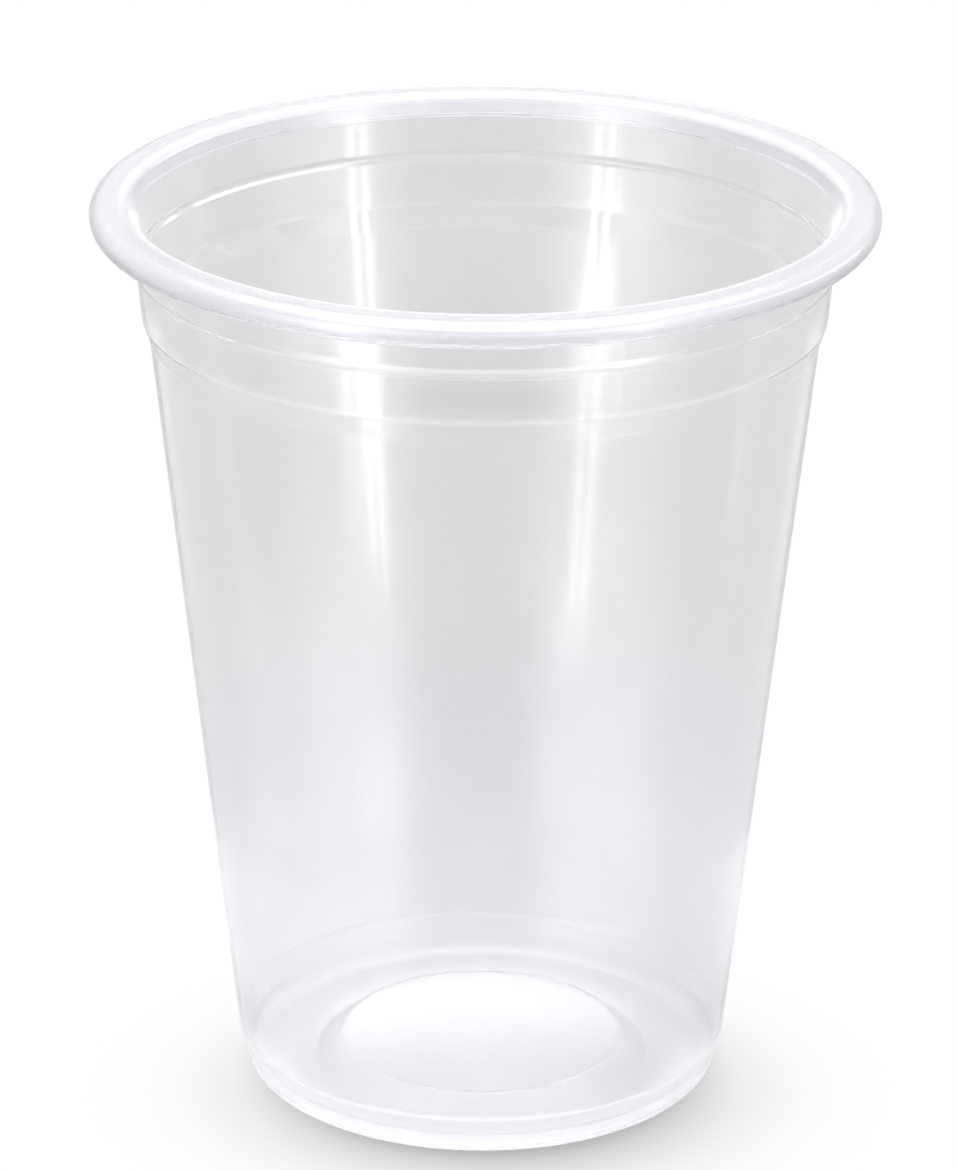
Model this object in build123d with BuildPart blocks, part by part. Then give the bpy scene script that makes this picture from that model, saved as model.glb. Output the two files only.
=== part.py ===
from build123d import *
import os

# Plastic disposable cup, formed as one piece from one thin clear sheet.
# Millimetres, +Z up, axis of the cup on Z, and Z = 0 is the plane it stands on.
#
# The profile below is the inside face of the sheet, from the middle of the floor
# out over the foot, up the wall and the collar, and over the curled rim to the
# sheet's free edge, which is tucked up under the rim. The sheet's other face lies
# one sheet thickness to the right of it all the way.

# ---- sheet -------------------------------------------------------------------
sheet = 0.45  # thickness of the formed sheet

# ---- floor -------------------------------------------------------------------
panel_radius = 17.75  # raised panel in the middle of the floor
panel_lift = 2.50  # its underside, above the standing plane
ring_inner_radius = 20.80  # inner edge of the ring that the cup stands on
panel_edge_round = 1.15
ring_inner_round = 0.70

# ---- foot --------------------------------------------------------------------
foot_radius = 29.50  # outside of the foot at the floor
foot_round = 1.80  # outside corner between the floor and the foot
foot_step_low = (29.59, 2.97)  # outside radius and height where the foot step begins
foot_step_high = (30.53, 5.34)  # and where it meets the wall
foot_step_round_low = 1.00
foot_step_round_high = 0.60

# ---- wall and collar ---------------------------------------------------------
stack_step_low = (40.50, 96.60)  # outside radius and height at the top of the wall
stack_step_high = (41.40, 99.25)  # bottom of the collar
stack_round_low = 1.30
stack_round_high = 0.40
bead_height = 105.60  # middle of the fine ring pressed outwards in the collar
bead_half_width = 0.62
bead_proud = 0.20
bead_round = 0.35
bead_foot_round = 0.80

# ---- rim ---------------------------------------------------------------------
rim_radius = 47.50  # outside of the curled rim, 95 mm across
rim_top = 113.50  # overall height
rim_under = 110.15  # underside of the curl
rim_outer_round = 1.60
lip_foot = (42.50, 110.60)  # outside radius and height where the wall turns outwards
lip_corner_radius = 42.78  # inside face, where the lip would meet the rim's flat top
lip_round = 1.30
lip_foot_round = 3.00
tuck_radius = 42.95  # nearest that the tucked edge comes to the axis
tuck_top = 112.05  # height of the free edge
tuck_round = 0.90


def inside(point):
    """The point of the inside face that is level with a point of the outside face."""
    return (point[0] - sheet, point[1])


# Collar radius of the inside face at the fine ring's height
collar_foot = inside(stack_step_high)
collar_head = inside(lip_foot)
collar_slope = (collar_head[0] - collar_foot[0]) / (collar_head[1] - collar_foot[1])


def on_collar(height):
    return collar_foot[0] + collar_slope * (height - collar_foot[1])


corners = [
    # point of the inside face, and the rounding there
    ((0, panel_lift + sheet), None),
    ((panel_radius, panel_lift + sheet), panel_edge_round),
    ((ring_inner_radius, sheet), ring_inner_round),
    ((foot_radius - sheet, sheet), foot_round - sheet),
    (inside(foot_step_low), foot_step_round_low),
    (inside(foot_step_high), foot_step_round_high),
    (inside(stack_step_low), stack_round_low),
    (collar_foot, stack_round_high),
    (
        (on_collar(bead_height - bead_half_width), bead_height - bead_half_width),
        bead_foot_round,
    ),
    ((on_collar(bead_height) + bead_proud, bead_height), bead_round),
    (
        (on_collar(bead_height + bead_half_width), bead_height + bead_half_width),
        bead_foot_round,
    ),
    (collar_head, lip_foot_round),
    ((lip_corner_radius, rim_top), lip_round),
    ((rim_radius, rim_top), rim_outer_round),
    ((rim_radius, rim_under), rim_outer_round),
    ((tuck_radius, rim_under), tuck_round),
    ((tuck_radius + 0.15, tuck_top), None),
]

with BuildPart() as cup:
    with BuildSketch(Plane.XZ) as section:
        with BuildLine() as sheet_line:
            FilletPolyline(
                [point for point, _ in corners],
                radius=[rounding for _, rounding in corners if rounding is not None],
            )
            offset(amount=sheet, side=Side.RIGHT)
        make_face()
    revolve(axis=Axis.Z)

cup.part.label = "cup"

os.makedirs("parts", exist_ok=True)
export_step(cup.part, "parts/cup.step")
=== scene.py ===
import math

import bpy
from mathutils import Matrix, Vector


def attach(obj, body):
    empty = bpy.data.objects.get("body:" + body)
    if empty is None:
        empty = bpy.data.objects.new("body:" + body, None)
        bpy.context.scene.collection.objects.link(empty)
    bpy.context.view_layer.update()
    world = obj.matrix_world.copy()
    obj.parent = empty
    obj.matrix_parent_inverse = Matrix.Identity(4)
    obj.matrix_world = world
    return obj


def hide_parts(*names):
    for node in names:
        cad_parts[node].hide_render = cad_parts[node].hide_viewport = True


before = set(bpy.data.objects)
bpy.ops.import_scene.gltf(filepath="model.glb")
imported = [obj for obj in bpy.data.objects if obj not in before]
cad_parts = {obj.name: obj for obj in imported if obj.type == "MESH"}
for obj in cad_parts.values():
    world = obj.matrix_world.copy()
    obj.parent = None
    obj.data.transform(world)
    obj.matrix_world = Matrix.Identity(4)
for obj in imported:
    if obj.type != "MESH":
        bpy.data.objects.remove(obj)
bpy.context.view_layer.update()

scene = bpy.context.scene
MM = 0.001

# ---------------------------------------------------------------------------
# Shape: one thin sheet turned about Z. The line below is the inside face of the
# sheet from the middle of the floor to the free edge under the rim, as corner
# (radius, height, rounding), and the other face lies SHEET to its right.
# ---------------------------------------------------------------------------
SHEET = 0.45
TURNS = 460  # steps round the cup

COLLAR_FOOT = (40.95, 99.25)
COLLAR_HEAD = (42.05, 110.60)


def on_collar(z):
    slope = (COLLAR_HEAD[0] - COLLAR_FOOT[0]) / (COLLAR_HEAD[1] - COLLAR_FOOT[1])
    return COLLAR_FOOT[0] + slope * (z - COLLAR_FOOT[1])


CORNERS = [
    (0.0, 2.95, 0.0),
    (17.75, 2.95, 1.15),
    (20.80, 0.45, 0.70),
    (29.05, 0.45, 1.35),
    (29.14, 2.97, 1.00),
    (30.08, 5.34, 0.60),
    (40.05, 96.60, 1.30),
    (COLLAR_FOOT[0], COLLAR_FOOT[1], 0.40),
    (on_collar(104.98), 104.98, 0.80),
    (on_collar(105.60) + 0.20, 105.60, 0.35),
    (on_collar(106.22), 106.22, 0.80),
    (COLLAR_HEAD[0], COLLAR_HEAD[1], 3.00),
    (42.78, 113.50, 1.30),
    (47.50, 113.50, 1.60),
    (47.50, 110.15, 1.60),
    (42.95, 110.15, 0.90),
    (43.10, 112.05, 0.0),
]


def sheet_line():
    """Points of the line with the direction of travel at each: straight runs in
    steps, and each corner as an arc."""
    points = []
    entry = Vector(CORNERS[0][:2])
    for i in range(1, len(CORNERS)):
        here = Vector(CORNERS[i][:2])
        before = (here - Vector(CORNERS[i - 1][:2])).normalized()
        if i < len(CORNERS) - 1:
            after = (Vector(CORNERS[i + 1][:2]) - here).normalized()
            turn = before.angle_signed(after)  # clockwise is positive
            reach = CORNERS[i][2] * math.tan(abs(turn) / 2)
        else:
            after, turn, reach = before, 0.0, 0.0
        leave = here - before * reach
        length = (leave - entry).length
        steps = max(1, math.ceil(length / 12.0))
        for k in range(steps):
            points.append((entry + before * (length * k / steps), before.copy()))
        if reach:
            radius = CORNERS[i][2]
            side = 1.0 if turn > 0 else -1.0
            right = Vector((before.y, -before.x))
            centre = leave + right * (side * radius)
            bends = max(3, min(10, math.ceil(abs(turn) / math.radians(9))))
            for k in range(bends):
                a = abs(turn) * k / bends
                spin = Matrix.Rotation(-side * a, 2)
                points.append((centre + spin @ (leave - centre), spin @ before))
            entry = here + after * reach
        else:
            entry = here
    points.append((entry, before.copy()))
    return points


def build_cup():
    """The sheet as a lathe mesh: one ring of vertices for each point of both faces,
    and the true normal of the turned surface at each of them."""
    line = sheet_line()
    rights = [Vector((d.y, -d.x)) for _, d in line]
    inner = [(p, -q) for (p, _), q in zip(line, rights)]
    outer = [(p + q * SHEET, q) for (p, _), q in zip(line, rights)]
    loop = inner[1:] + outer[:0:-1]  # the two points on the axis are single vertices
    verts = [(0.0, 0.0, inner[0][0].y * MM), (0.0, 0.0, outer[0][0].y * MM)]
    normals = [(0.0, 0.0, 1.0), (0.0, 0.0, -1.0)]
    n = len(loop)
    for k in range(TURNS):
        a = 2 * math.pi * k / TURNS
        c, s = math.cos(a), math.sin(a)
        for p, q in loop:
            verts.append((p.x * c * MM, p.x * s * MM, p.y * MM))
            normals.append((q.x * c, q.x * s, q.y))
    faces = []
    for k in range(TURNS):
        a0, b0 = 2 + k * n, 2 + ((k + 1) % TURNS) * n
        faces.append((0, a0, b0))
        for j in range(n - 1):
            faces.append((a0 + j, a0 + j + 1, b0 + j + 1, b0 + j))
        faces.append((a0 + n - 1, 1, b0 + n - 1))
    mesh = bpy.data.meshes.new("cup_shell")
    mesh.from_pydata(verts, [], faces)
    mesh.validate()
    mesh.update()
    for p in mesh.polygons:
        p.use_smooth = True
    facing = sum(Vector(normals[p.vertices[0]]).dot(p.normal) for p in mesh.polygons)
    if facing < 0:
        mesh.flip_normals()
    mesh.normals_split_custom_set_from_vertices(normals)
    obj = bpy.data.objects.new("cup_shell", mesh)
    scene.collection.objects.link(obj)
    return obj


# ---------------------------------------------------------------------------
# Node helpers
# ---------------------------------------------------------------------------
class Nodes:
    def __init__(self, tree):
        self.tree = tree
        tree.nodes.clear()

    def new(self, kind, **values):
        node = self.tree.nodes.new(kind)
        for k, v in values.items():
            setattr(node, k, v)
        return node

    def link(self, a, b):
        self.tree.links.new(a, b)

    def put(self, socket, value):
        if isinstance(value, bpy.types.NodeSocket):
            self.link(value, socket)
        else:
            socket.default_value = value

    def math(self, op, a, b=None, c=None, clamp=False):
        node = self.new("ShaderNodeMath", operation=op, use_clamp=clamp)
        for i, v in enumerate((a, b, c)):
            if v is not None:
                self.put(node.inputs[i], v)
        return node.outputs[0]

    def smooth(self, value, lo, hi, a=0.0, b=1.0):
        node = self.new("ShaderNodeMapRange", interpolation_type="SMOOTHSTEP")
        for i, v in enumerate((value, lo, hi, a, b)):
            self.put(node.inputs[i], v)
        return node.outputs[0]

    def window(self, value, lo, hi, soft):
        """1 between lo and hi, falling smoothly to 0 over soft outside them."""
        up = self.smooth(value, lo - soft, lo)
        down = self.smooth(value, hi, hi + soft, 1.0, 0.0)
        return self.math("MULTIPLY", up, down)

    def mix_colour(self, factor, a, b):
        node = self.new("ShaderNodeMix", data_type="RGBA")
        self.put(node.inputs[0], factor)
        self.put(node.inputs[6], a)
        self.put(node.inputs[7], b)
        return node.outputs[2]


def clear_plastic():
    mat = bpy.data.materials.new("clear_plastic")
    mat.use_nodes = True
    n = Nodes(mat.node_tree)
    out = n.new("ShaderNodeOutputMaterial")
    bsdf = n.new("ShaderNodeBsdfPrincipled")
    n.link(bsdf.outputs[0], out.inputs[0])
    where = n.new("ShaderNodeTexCoord").outputs["Object"]
    split = n.new("ShaderNodeSeparateXYZ")
    n.link(where, split.inputs[0])
    x, y, z = split.outputs
    r = n.math("SQRT", n.math("ADD", n.math("MULTIPLY", x, x), n.math("MULTIPLY", y, y)))
    # The curled rim holds several layers of sheet, and the middle of the floor is
    # hardly drawn out, so both are thicker and cloudier than the wall.
    rim = n.smooth(z, 0.1096, 0.1116)
    panel = n.math(
        "MULTIPLY", n.smooth(r, 0.0160, 0.0182, 1.0, 0.0), n.smooth(z, 0.004, 0.006, 1.0, 0.0)
    )
    # Faint upright draw streaks and soft clouding of the wall
    stretch = n.new("ShaderNodeMapping")
    stretch.inputs["Scale"].default_value = (1.0, 1.0, 0.06)
    n.link(where, stretch.inputs[0])
    streaks = n.new("ShaderNodeTexNoise")
    streaks.inputs["Scale"].default_value = 420.0
    streaks.inputs["Detail"].default_value = 3.0
    n.link(stretch.outputs[0], streaks.inputs["Vector"])
    cloud = n.new("ShaderNodeTexNoise")
    cloud.inputs["Scale"].default_value = 60.0
    cloud.inputs["Detail"].default_value = 2.0
    n.link(where, cloud.inputs["Vector"])
    # Whiter haze at the hardest bends of the sheet: partly the plastic's own stress whitening, partly a painted
    # highlight along the bead, step and foot lines
    crease_whitening_and_highlight = n.window(z, 0.00515, 0.00555, 0.0003)
    for low, high, soft, inner, outer, level in (
        (0.09935, 0.09965, 0.0004, 0.0411, 0.0413, 0.3),
        (0.10535, 0.10585, 0.0003, 0.0418, 0.0420, 0.45),
    ):
        bent = n.math("MULTIPLY", n.window(z, low, high, soft), n.smooth(r, inner, outer, level, 1.0))
        crease_whitening_and_highlight = n.math("MAXIMUM", crease_whitening_and_highlight, bent)
    # Painted light and shade on the curl: a lighter line along its bottom edge, and a darker lower outer face
    curl = n.smooth(r, 0.0436, 0.0444)
    under = n.math("MULTIPLY", curl, n.smooth(z, 0.1104, 0.1110, 1.0, 0.0))
    clear = n.math("MULTIPLY", curl, n.window(z, 0.1110, 0.1119, 0.0005))
    # Painted light: whiter haze on the slope round the floor panel, so its edge shows no dark outline
    slope = n.math(
        "MULTIPLY", n.window(r, 0.0174, 0.0208, 0.0006), n.smooth(z, 0.004, 0.006, 1.0, 0.0)
    )
    # Painted shade: a darker band on the collar between the step and the bead
    band = n.window(z, 0.1015, 0.1032, 0.0008)
    # Painted light: whiter haze on the inner lip
    lip = n.math("MULTIPLY", n.smooth(r, 0.0436, 0.0442, 1.0, 0.0), n.smooth(z, 0.1105, 0.1120))
    # Haze: the real cloudiness of the rim, floor panel and draw streaks, plus the painted light and shade marks
    # above
    haze_with_painted_light_and_shade = n.math("MULTIPLY_ADD", rim, 0.085, 0.07)
    haze_with_painted_light_and_shade = n.math("MULTIPLY_ADD", clear, -0.11, haze_with_painted_light_and_shade)
    haze_with_painted_light_and_shade = n.math("MULTIPLY_ADD", under, 0.12, haze_with_painted_light_and_shade)
    haze_with_painted_light_and_shade = n.math("MULTIPLY_ADD", lip, 0.08, haze_with_painted_light_and_shade)
    haze_with_painted_light_and_shade = n.math("MULTIPLY_ADD", band, -0.02, haze_with_painted_light_and_shade)
    haze_with_painted_light_and_shade = n.math("MULTIPLY_ADD", crease_whitening_and_highlight, 0.12, haze_with_painted_light_and_shade)
    haze_with_painted_light_and_shade = n.math("MULTIPLY_ADD", panel, 0.02, haze_with_painted_light_and_shade)
    haze_with_painted_light_and_shade = n.math("MULTIPLY_ADD", slope, 0.10, haze_with_painted_light_and_shade)
    haze_with_painted_light_and_shade = n.math(
        "MULTIPLY_ADD", n.math("SUBTRACT", streaks.outputs[0], 0.5), 0.04, haze_with_painted_light_and_shade
    )
    n.link(n.math("SUBTRACT", 1.0, haze_with_painted_light_and_shade), bsdf.inputs["Transmission Weight"])
    wall = n.mix_colour(
        cloud.outputs[0], (0.975, 0.975, 0.985, 1), (0.985, 0.985, 0.992, 1)
    )
    n.link(n.mix_colour(rim, wall, (0.968, 0.962, 0.99, 1)), bsdf.inputs["Base Color"])
    frost = n.math("MULTIPLY_ADD", streaks.outputs[0], 0.05, 0.02)
    frost = n.math("MULTIPLY_ADD", rim, 0.16, frost)
    frost = n.math("MULTIPLY_ADD", n.smooth(z, 0.0045, 0.0075, 1.0, 0.0), 0.18, frost)
    n.link(frost, bsdf.inputs["Roughness"])
    bsdf.inputs["IOR"].default_value = 1.49
    bsdf.inputs["Sheen Weight"].default_value = 0.12
    bsdf.inputs["Sheen Roughness"].default_value = 0.4
    bsdf.inputs["Sheen Tint"].default_value = (1.0, 1.0, 1.0, 1.0)
    bump = n.new("ShaderNodeBump")
    bump.inputs["Strength"].default_value = 0.06
    bump.inputs["Distance"].default_value = 0.00004
    n.link(streaks.outputs[0], bump.inputs["Height"])
    n.link(bump.outputs[0], bsdf.inputs["Normal"])
    return mat


cup = build_cup()
cup.data.materials.append(clear_plastic())
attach(cup, "root")
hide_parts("cup")

# ---------------------------------------------------------------------------
# Stage: a white floor with a painted soft shadow, a painted grey glow with painted lights for the cup to see, and a
# soft white studio all round
# ---------------------------------------------------------------------------


def build_floor():
    mesh = bpy.data.meshes.new("floor")
    x, near, far = 1.6, -1.6, 1.6
    mesh.from_pydata(
        [(-x, near, 0), (x, near, 0), (x, far, 0), (-x, far, 0)], [], [(0, 1, 2, 3)]
    )
    obj = bpy.data.objects.new("floor", mesh)
    scene.collection.objects.link(obj)
    obj.location.z = -0.00005
    mat = bpy.data.materials.new("floor")
    mat.use_nodes = True
    n = Nodes(mat.node_tree)
    out = n.new("ShaderNodeOutputMaterial")
    split = n.new("ShaderNodeSeparateXYZ")
    n.link(n.new("ShaderNodeTexCoord").outputs["Object"], split.inputs[0])
    x, y = split.outputs[0], split.outputs[1]
    r = n.math("SQRT", n.math("ADD", n.math("MULTIPLY", x, x), n.math("MULTIPLY", y, y)))
    az = n.math("ARCTAN2", x, n.math("MULTIPLY", y, -1.0))
    az = n.math("MULTIPLY", az, 180 / math.pi)
    path = n.new("ShaderNodeLightPath")
    mirrored = n.math("MINIMUM", path.outputs["Glossy Depth"], 1.0)
    # Painted soft shadow under the cup, a little in front of it, and a thin painted one at the contact
    dx = n.math("SUBTRACT", x, 0.0012)
    dy = n.math("MULTIPLY", n.math("ADD", y, 0.0102), 1.154)
    rho = n.math("SQRT", n.math("ADD", n.math("MULTIPLY", dx, dx), n.math("MULTIPLY", dy, dy)))
    d = n.math("DIVIDE", n.math("MAXIMUM", n.math("SUBTRACT", rho, 0.005), 0.0), 0.0195)
    dark = n.math("EXPONENT", n.math("MULTIPLY", n.math("MULTIPLY", d, d), -1.0))
    shade = n.math("MULTIPLY_ADD", dark, -0.924, 1.0)
    d = n.math("DIVIDE", n.math("MAXIMUM", n.math("SUBTRACT", r, 0.0275), 0.0), 0.0022)
    dark = n.math("EXPONENT", n.math("MULTIPLY", n.math("MULTIPLY", d, d), -1.0))
    shade = n.math("MULTIPLY", shade, n.math("MULTIPLY_ADD", dark, -0.10, 1.0))
    white = n.new("ShaderNodeEmission")
    white.inputs[0].default_value = (1, 1, 1, 1)
    n.link(shade, white.inputs[1])
    # What the cup shows of the floor, a glow painted on it: paler close by, greyer further off, and with the
    # studio's side lights painted across it in front
    tone = n.mix_colour(
        n.smooth(r, 0.03, 0.12), (0.742, 0.733, 0.77, 1), (0.645, 0.64, 0.66, 1)
    )
    tone = n.mix_colour(n.smooth(r, 0.10, 0.20), tone, (0.614, 0.616, 0.614, 1))
    tone = n.mix_colour(n.smooth(r, 0.225, 0.33), tone, (0.676, 0.676, 0.672, 1))
    tone = n.mix_colour(n.smooth(r, 0.80, 1.20), tone, (0.60, 0.60, 0.60, 1))
    light = n.math("MULTIPLY", n.window(az, 44.0, 50.0, 22.0), 2.6)
    light = n.math("MULTIPLY_ADD", n.window(az, 50.0, 60.0, 60.0), 0.7, light)
    light = n.math("MULTIPLY_ADD", n.window(az, -50.0, -40.0, 26.0), 2.8, light)
    light = n.math("MULTIPLY_ADD", n.window(az, -60.0, -50.0, 60.0), 0.9, light)
    light = n.math(
        "MULTIPLY",
        light,
        n.math("MULTIPLY", n.smooth(r, 0.18, 0.30, 0.28, 1.0), n.smooth(r, 0.035, 0.10)),
    )
    light = n.math(
        "MULTIPLY_ADD",
        n.math("MULTIPLY", n.window(az, 44.0, 68.0, 18.0), n.smooth(r, 0.35, 0.55)),
        1.5,
        light,
    )
    light = n.math(
        "MULTIPLY_ADD",
        n.math("MULTIPLY", n.window(az, -64.0, -36.0, 18.0), n.smooth(r, 0.35, 0.55)),
        1.5,
        light,
    )
    for lo, hi, soft, level in ((30.0, 60.0, 18.0, 0.5), (-88.0, -34.0, 18.0, 0.5)):
        side = n.math("MULTIPLY", n.window(az, lo, hi, soft), n.window(r, 0.075, 0.14, 0.035))
        light = n.math("MULTIPLY_ADD", side, level, light)
    for lo, hi, soft, level, start in (
        (41.5, 43.0, 1.2, 5.0, 0.19),
        (46.2, 47.7, 1.2, 5.0, 0.24),
        (40.5, 48.5, 3.0, 3.0, 0.24),
        (-39.4, -37.9, 1.2, 5.0, 0.19),
        (-44.4, -42.9, 1.2, 5.0, 0.19),
        (-46.0, -37.0, 3.5, 3.0, 0.19),
    ):
        strip = n.math("MULTIPLY", n.window(az, lo, hi, soft), n.smooth(r, start, start + 0.08))
        light = n.math("MULTIPLY_ADD", strip, level, light)
    # A short one close in on the right
    strip = n.math("MULTIPLY", n.window(az, 35.0, 40.0, 4.0), n.window(r, 0.196, 0.215, 0.012))
    light = n.math("MULTIPLY_ADD", strip, 1.0, light)
    # One more behind the cup
    behind = n.math("ABSOLUTE", az)
    for lo, soft, level in ((177.5, 4.0, 4.0), (174.0, 9.0, 1.2)):
        strip = n.math("MULTIPLY", n.smooth(behind, lo - soft, lo), n.smooth(r, 0.12, 0.24))
        light = n.math("MULTIPLY_ADD", strip, level, light)
    # A broad painted pool of light on the right, and one close in on the left
    pool = n.math("MULTIPLY", n.window(az, -48.0, -34.5, 4.0), n.window(r, 0.58, 0.70, 0.08))
    light = n.math("MULTIPLY_ADD", pool, 5.0, light)
    pool = n.math("MULTIPLY", n.window(az, -43.0, -35.0, 6.0), n.window(r, 0.20, 0.235, 0.05))
    light = n.math("MULTIPLY_ADD", pool, 3.2, light)
    pool = n.math("MULTIPLY", n.window(az, -41.0, -33.0, 6.0), n.window(r, 0.10, 0.11, 0.015))
    light = n.math("MULTIPLY_ADD", pool, 1.2, light)
    # Painted shade: a dark arc on the floor in front, seen mirrored in the collar as a darker band
    painted_dark_arc = n.math("MULTIPLY", n.window(az, -14.0, 14.0, 12.0), n.window(r, 0.2115, 0.2165, 0.002))
    light = n.math("MULTIPLY_ADD", painted_dark_arc, -1.4, light)
    light = n.math("MULTIPLY", light, mirrored)
    light = n.math("MULTIPLY_ADD", n.math("MINIMUM", path.outputs["Diffuse Depth"], 1.0), 1.8, light)
    total = n.math("ADD", n.math("MULTIPLY", light, 0.7), 1.0)
    # Behind, the grey is painted lighter to both sides of the middle
    left = n.math("ADD", x, n.smooth(y, 0.09, 0.16, 0.0, 0.0040))
    side = n.math("MULTIPLY", n.smooth(left, -0.0150, -0.0047, 1.0, 0.0), n.smooth(x, -0.0474, -0.0166, 0.2, 1.0))
    side = n.math(
        "ADD",
        side,
        n.math("MULTIPLY", n.smooth(x, 0.0040, 0.0111), n.smooth(x, 0.0122, 0.0395, 0.9, 0.15)),
    )
    side = n.math("MULTIPLY", side, n.math("MULTIPLY", n.smooth(y, 0.02, 0.04), n.smooth(r, 0.13, 0.24, 1.0, 0.0)))
    side = n.math("MULTIPLY", side, n.smooth(r, 0.05, 0.10, 0.7, 1.0))
    total = n.math("MULTIPLY_ADD", side, 0.17, total)
    # A painted pool of light on the floor under the cup's raised panel, standing for light the cup gathers there
    dy = n.math("SUBTRACT", y, 0.0035)
    rho = n.math("SQRT", n.math("ADD", n.math("MULTIPLY", x, x), n.math("MULTIPLY", dy, dy)))
    painted_pool_under_panel = n.math(
        "MULTIPLY",
        n.smooth(rho, 0.0175, 0.0228, 1.0, 0.0),
        n.smooth(n.math("MULTIPLY_ADD", x, -0.15, y), -0.008, 0.017),
    )
    total = n.math("MULTIPLY_ADD", painted_pool_under_panel, 0.56, total)
    # Painted light: the floor under the cup is a little lighter, and less so on the right
    base = n.math("MULTIPLY", n.smooth(r, 0.030, 0.040, 1.0, 0.0), n.smooth(x, -0.026, -0.008, 0.11, 0.07))
    total = n.math("ADD", total, base)
    total = n.math(
        "MULTIPLY",
        total,
        n.math(
            "SUBTRACT",
            1.0,
            n.math("MULTIPLY", n.smooth(x, 0.0, 0.025, 0.0, 0.09), n.smooth(r, 0.04, 0.07, 1.0, 0.0)),
        ),
    )
    # and painted lighter close in front of it
    near = n.math("MULTIPLY", n.window(r, 0.052, 0.072, 0.012), mirrored)
    total = n.math("MULTIPLY_ADD", near, 0.25, total)
    # Painted light on the floor just round the foot, on the front side
    foot = n.math("MULTIPLY", n.window(r, 0.026, 0.034, 0.004), n.smooth(y, -0.01, 0.01, 1.0, 0.0))
    total = n.math("MULTIPLY_ADD", foot, 0.45, total)
    # The painted pool under the panel is paler in colour too
    tone = n.mix_colour(n.math("MULTIPLY", painted_pool_under_panel, 0.7), tone, (0.77, 0.77, 0.775, 1))
    glow = n.new("ShaderNodeEmission")
    n.link(tone, glow.inputs[0])
    n.link(total, glow.inputs[1])
    mix = n.new("ShaderNodeMixShader")
    n.link(path.outputs["Is Camera Ray"], mix.inputs[0])
    n.link(glow.outputs[0], mix.inputs[1])
    n.link(white.outputs[0], mix.inputs[2])
    n.link(mix.outputs[0], out.inputs[0])
    mat.cycles.emission_sampling = "NONE"
    mesh.materials.append(mat)
    return obj


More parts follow.
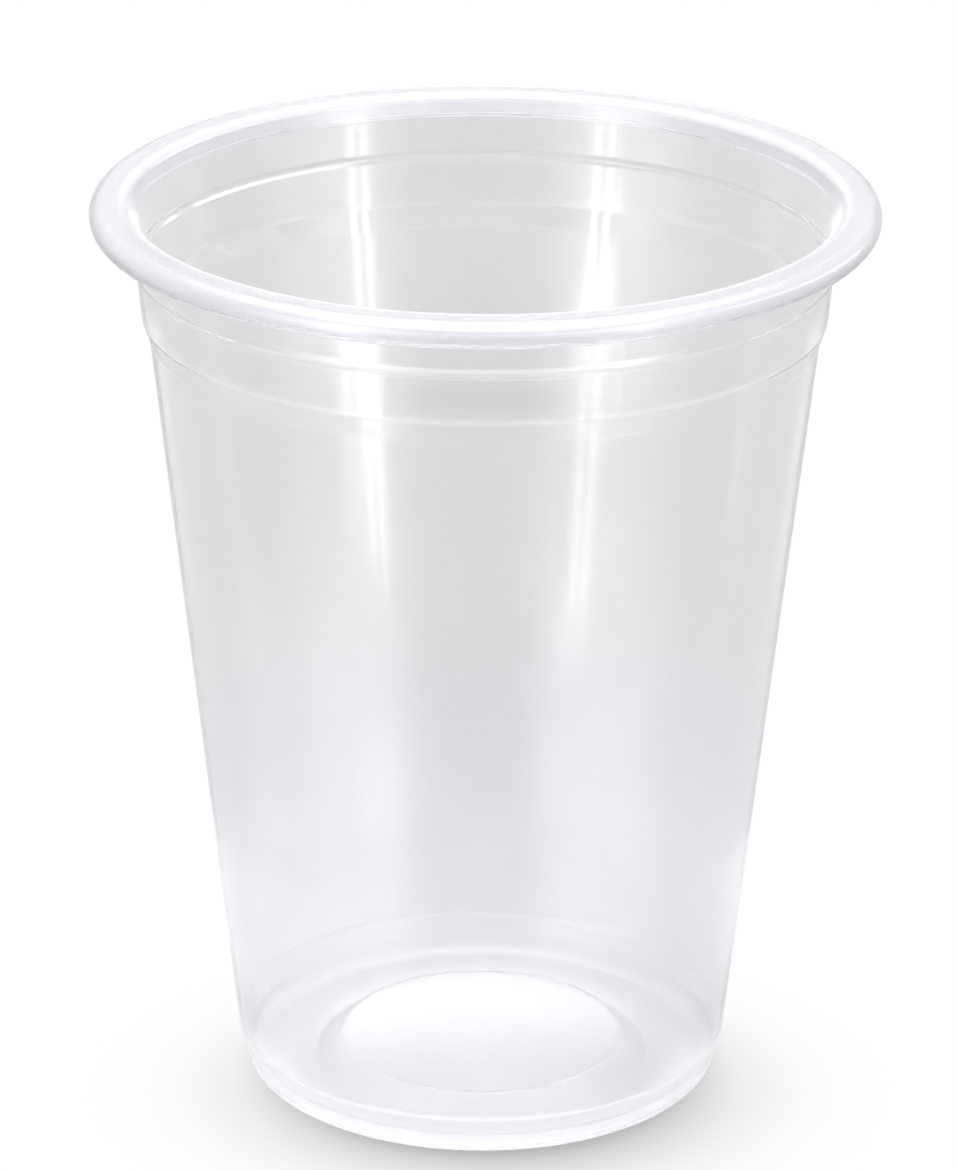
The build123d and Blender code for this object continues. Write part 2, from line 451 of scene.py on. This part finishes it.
def build_world():
    world = bpy.data.worlds.new("studio")
    scene.world = world
    world.cycles.sampling_method = "NONE"
    world.use_nodes = True
    n = Nodes(world.node_tree)
    out = n.new("ShaderNodeOutputWorld")
    split = n.new("ShaderNodeSeparateXYZ")
    n.link(n.new("ShaderNodeTexCoord").outputs["Generated"], split.inputs[0])
    x, y, z = split.outputs
    degrees = 180 / math.pi
    # 0 is towards the camera, positive to its right
    az = n.math("MULTIPLY", n.math("ARCTAN2", x, n.math("MULTIPLY", y, -1.0)), degrees)
    el = n.math("MULTIPLY", n.math("ARCSINE", z), degrees)
    path = n.new("ShaderNodeLightPath")
    mirrored = n.math("MINIMUM", path.outputs["Glossy Depth"], 1.0)
    light = 0.0
    for lo, hi, soft, low, high, fade, level in (
        # paired tubes, and the broad panels beside them
        (42.0, 43.2, 0.9, -5.0, 17.8, 0.9, 4.0),
        (46.4, 47.6, 0.9, -5.0, 17.8, 0.9, 4.0),
        (-38.9, -37.7, 0.9, -5.0, 17.8, 0.9, 4.0),
        (-43.6, -42.4, 0.9, -5.0, 17.8, 0.9, 4.0),
        (44.0, 52.0, 22.0, -5.0, 17.8, 0.9, 1.9),
        (-52.0, -40.0, 24.0, -5.0, 17.8, 0.9, 2.0),
        # a low band all along the front
        (-45.0, 45.0, 15.0, 1.0, 9.0, 3.0, 2.4),
    ):
        strip = n.math("MULTIPLY", n.window(az, lo, hi, soft), n.window(el, low, high, fade))
        light = n.math("MULTIPLY_ADD", strip, level, light)
    # a slanting strip high on the right
    slant = n.math("ADD", n.math("MULTIPLY_ADD", az, 0.26, -37.5), el)
    slant = n.math("MULTIPLY", n.window(slant, -1.2, 6.0, 0.9), n.window(az, 55.0, 126.0, 12.0))
    light = n.math("MULTIPLY_ADD", slant, 4.0, light)
    # a panel behind
    back = n.math("MULTIPLY", n.smooth(n.math("ABSOLUTE", az), 145.0, 165.0), n.smooth(el, 50.0, 60.0, 1.0, 0.0))
    back = n.math(
        "MULTIPLY", back, n.math("MULTIPLY_ADD", n.smooth(el, 21.0, 25.0), 0.24, n.smooth(el, 10.0, 16.0, 0.0, 0.15))
    )
    light = n.math("MULTIPLY", n.math("ADD", light, back), mirrored)
    # and the soft light of the room, most of it from above
    light = n.math("ADD", light, n.smooth(el, 3.0, 30.0, 0.60, 0.75))
    light = n.math("MULTIPLY_ADD", n.math("MULTIPLY", n.smooth(el, 38.0, 60.0), n.smooth(el, 66.0, 82.0, 1.0, 0.3)), 3.9, light)
    front = n.math("MULTIPLY", n.window(az, -40.0, 40.0, 30.0), n.window(el, 40.0, 58.0, 9.0))
    light = n.math("MULTIPLY_ADD", front, n.math("MULTIPLY_ADD", mirrored, 1.9, 1.3), light)
    studio = n.new("ShaderNodeBackground")
    n.link(light, studio.inputs[1])
    studio.inputs[0].default_value = (0.992, 0.992, 1.0, 1)
    plain = n.new("ShaderNodeBackground")
    plain.inputs[0].default_value = (1, 1, 1, 1)
    plain.inputs[1].default_value = 1.0
    mix = n.new("ShaderNodeMixShader")
    n.link(path.outputs["Is Camera Ray"], mix.inputs[0])
    n.link(studio.outputs[0], mix.inputs[1])
    n.link(plain.outputs[0], mix.inputs[2])
    n.link(mix.outputs[0], out.inputs[0])


build_floor()
build_world()

# ---------------------------------------------------------------------------
# Camera, at the photograph's height and distance
# ---------------------------------------------------------------------------
cam_data = bpy.data.cameras.new("camera")
cam_data.sensor_width = 36.0
cam_data.lens = 184.615
cam_data.clip_start, cam_data.clip_end = 0.01, 20.0
camera = bpy.data.objects.new("camera", cam_data)
scene.collection.objects.link(camera)
pitch, yaw, roll = math.radians(21.521), math.radians(-0.046), math.radians(0.291)
ahead = Vector(
    (math.sin(yaw) * math.cos(pitch), math.cos(yaw) * math.cos(pitch), -math.sin(pitch))
)
right = Vector((math.cos(yaw), -math.sin(yaw), 0.0))
up = right.cross(ahead)
right, up = (
    right * math.cos(roll) + up * math.sin(roll),
    up * math.cos(roll) - right * math.sin(roll),
)
pose = Matrix.Identity(4)
for i in range(3):
    pose[i][0], pose[i][1], pose[i][2] = right[i], up[i], -ahead[i]
pose.translation = Vector((0.0, -0.68637, 0.33401))
camera.matrix_world = pose
scene.camera = camera

scene.view_settings.view_transform = "Standard"
scene.view_settings.look = "None"
scene.cycles.max_bounces = 16
scene.cycles.transmission_bounces = 16
scene.cycles.glossy_bounces = 12
scene.cycles.diffuse_bounces = 6
